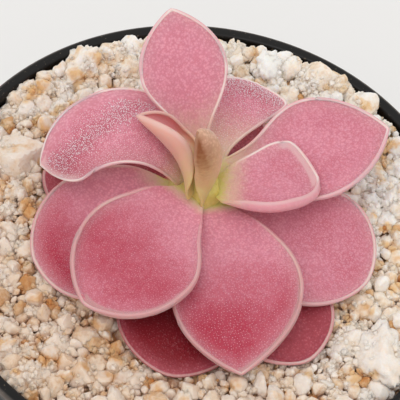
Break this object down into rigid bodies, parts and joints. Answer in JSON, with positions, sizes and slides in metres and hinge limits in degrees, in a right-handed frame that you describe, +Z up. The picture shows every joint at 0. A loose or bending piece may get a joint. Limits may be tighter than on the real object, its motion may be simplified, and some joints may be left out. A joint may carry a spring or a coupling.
{
  "type": "potted butterwort",
  "caption": "Round black plastic pot of pale grit with a low butterwort rosette: broad pink leaves with pale rims around a green-yellow heart and young rolled leaves.",
  "frame": {"origin": "centre of the pot's foot on the surface it stands on", "axes": "+Z up along the pot's axis, +X to the plant's right, -Y the front"},
  "size_m": [0.09, 0.09, 0.0946],
  "materials": {
    "pot_plastic": "satin black moulded plastic, lightly scuffed at the lip",
    "grit": "dry matte pumice, perlite and quartz grains, white to tan",
    "heart": "soft satin living tissue, yellow-green",
    "leaf": "fleshy pink leaf, satin under fine glandular hairs, pale cream rim",
    "old_leaf": "older fleshy leaf, deep rose to crimson, satin under fine hairs, pale rim",
    "young_leaf": "smooth satin young leaf, peach to yellow-green"
  },
  "bodies": {
    "root": {"pot": "pot_plastic", "grit_bed": "grit", "crown": "heart", "leaf_lowest_front": "old_leaf", "leaf_lowest_left": "old_leaf", "leaf_lowest_back": "old_leaf", "leaf_lowest_right": "old_leaf", "leaf_left_middle": "leaf", "leaf_right_lower": "leaf", "leaf_left_upper": "leaf", "leaf_back_right": "leaf", "leaf_front_right": "leaf", "leaf_right_upper": "leaf", "leaf_front_left": "leaf", "leaf_back_upright": "leaf", "leaf_right_inner": "leaf", "young_leaf_left": "young_leaf", "young_leaf_centre": "young_leaf"}
  },
  "joints": []
}
